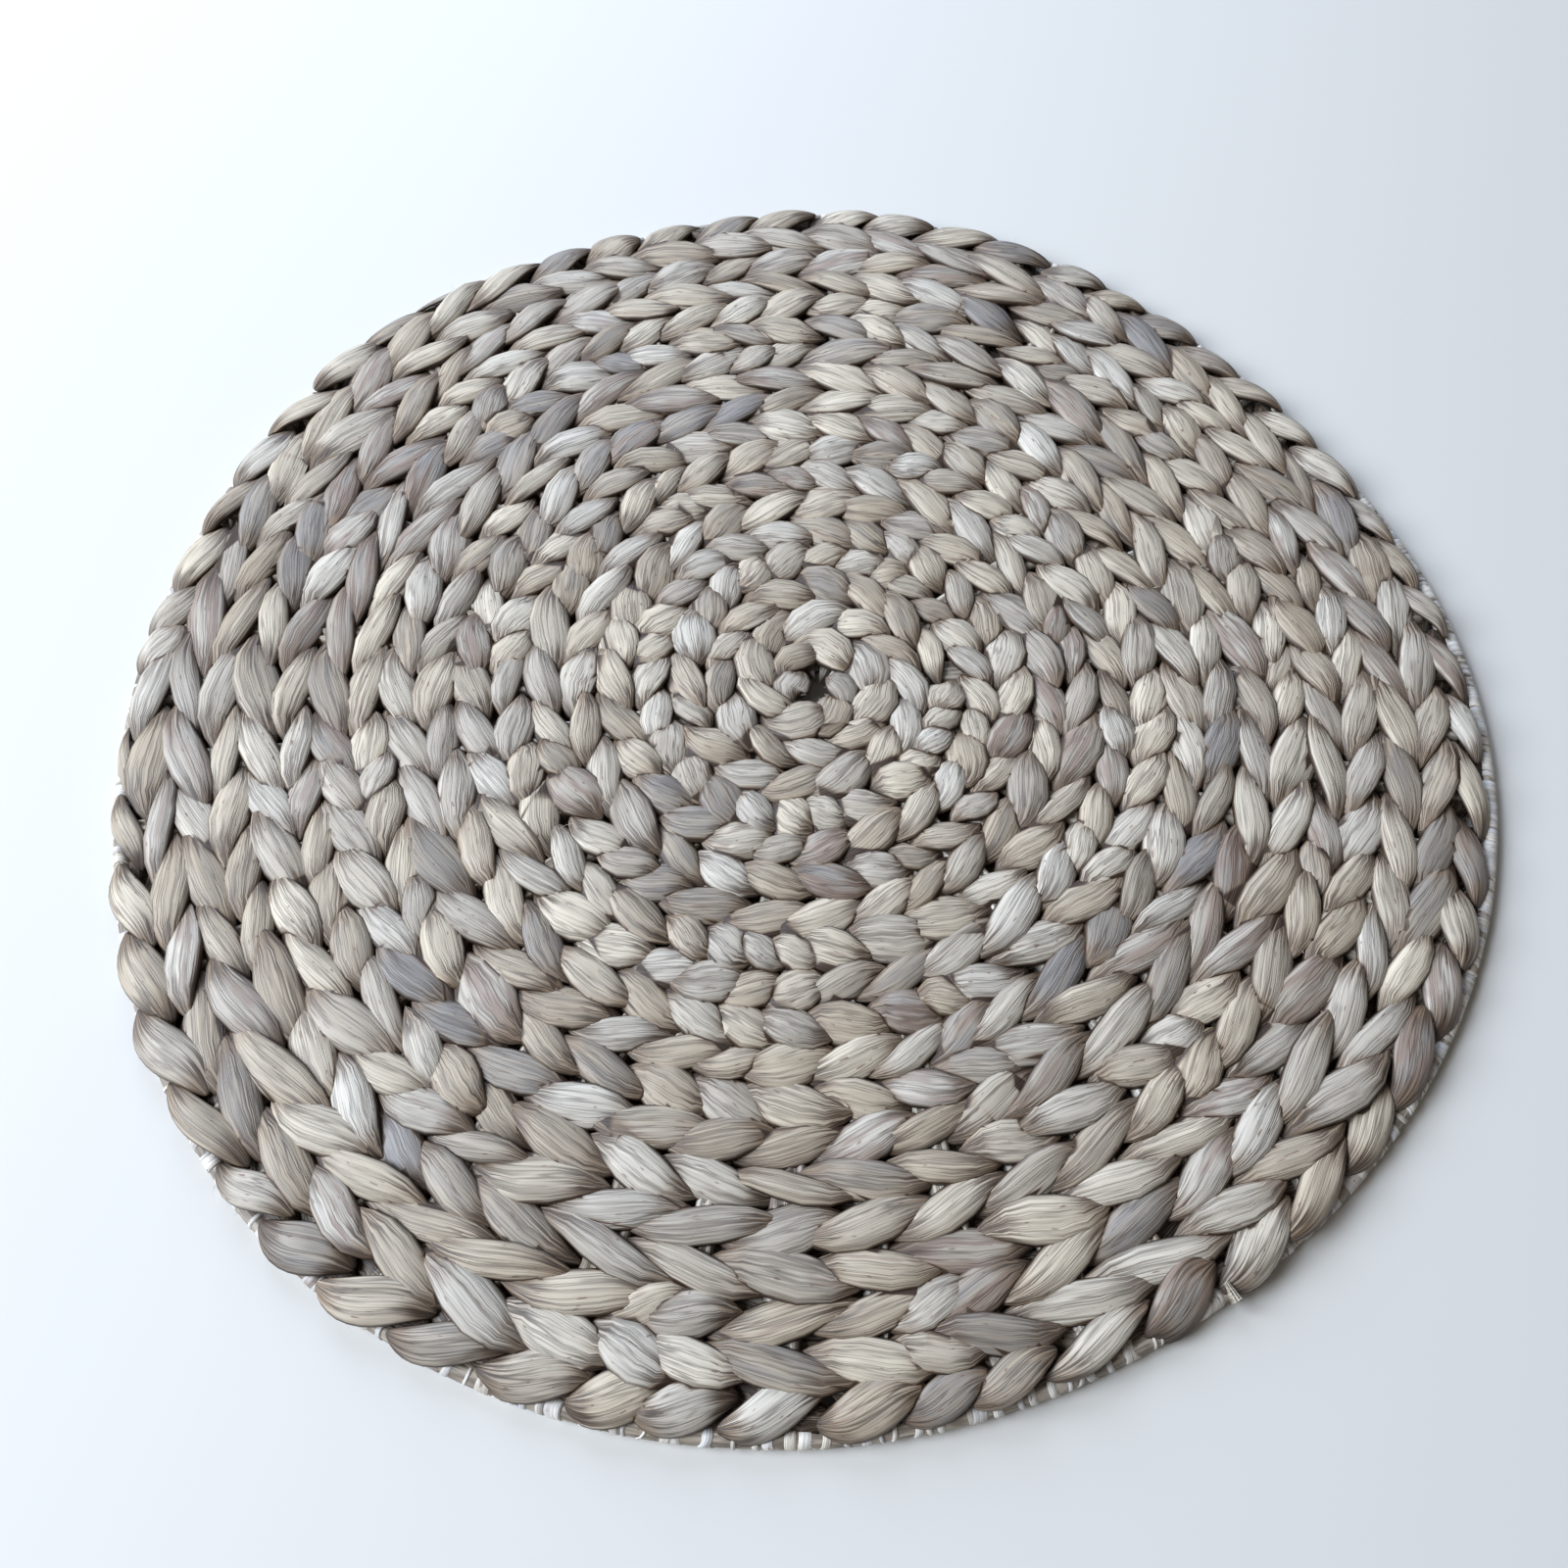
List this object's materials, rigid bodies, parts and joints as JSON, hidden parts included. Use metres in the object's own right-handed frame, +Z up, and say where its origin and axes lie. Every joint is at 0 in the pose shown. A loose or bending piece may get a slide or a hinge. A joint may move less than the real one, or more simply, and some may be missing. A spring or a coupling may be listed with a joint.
{
  "type": "round mat",
  "caption": "Round flat table mat of twined plant stems in a double spiral, worked to a bound hoop at the rim; protects a table under a plate or pot.",
  "frame": {"origin": "on the underside, below the middle of the mat's outline", "axes": "+Z up out of the worked face, +X right and +Y away as the mat is first seen"},
  "size_m": [0.3673, 0.371, 0.0092],
  "materials": {
    "twined_stems": "dried water hyacinth stems, undyed, satin with fine lengthwise fibres",
    "hoop_binding": "thin pale strips of stem wound round the hoop, matt"
  },
  "bodies": {
    "root": {"woven_body": "twined_stems", "rim_hoop": "hoop_binding"}
  },
  "joints": []
}
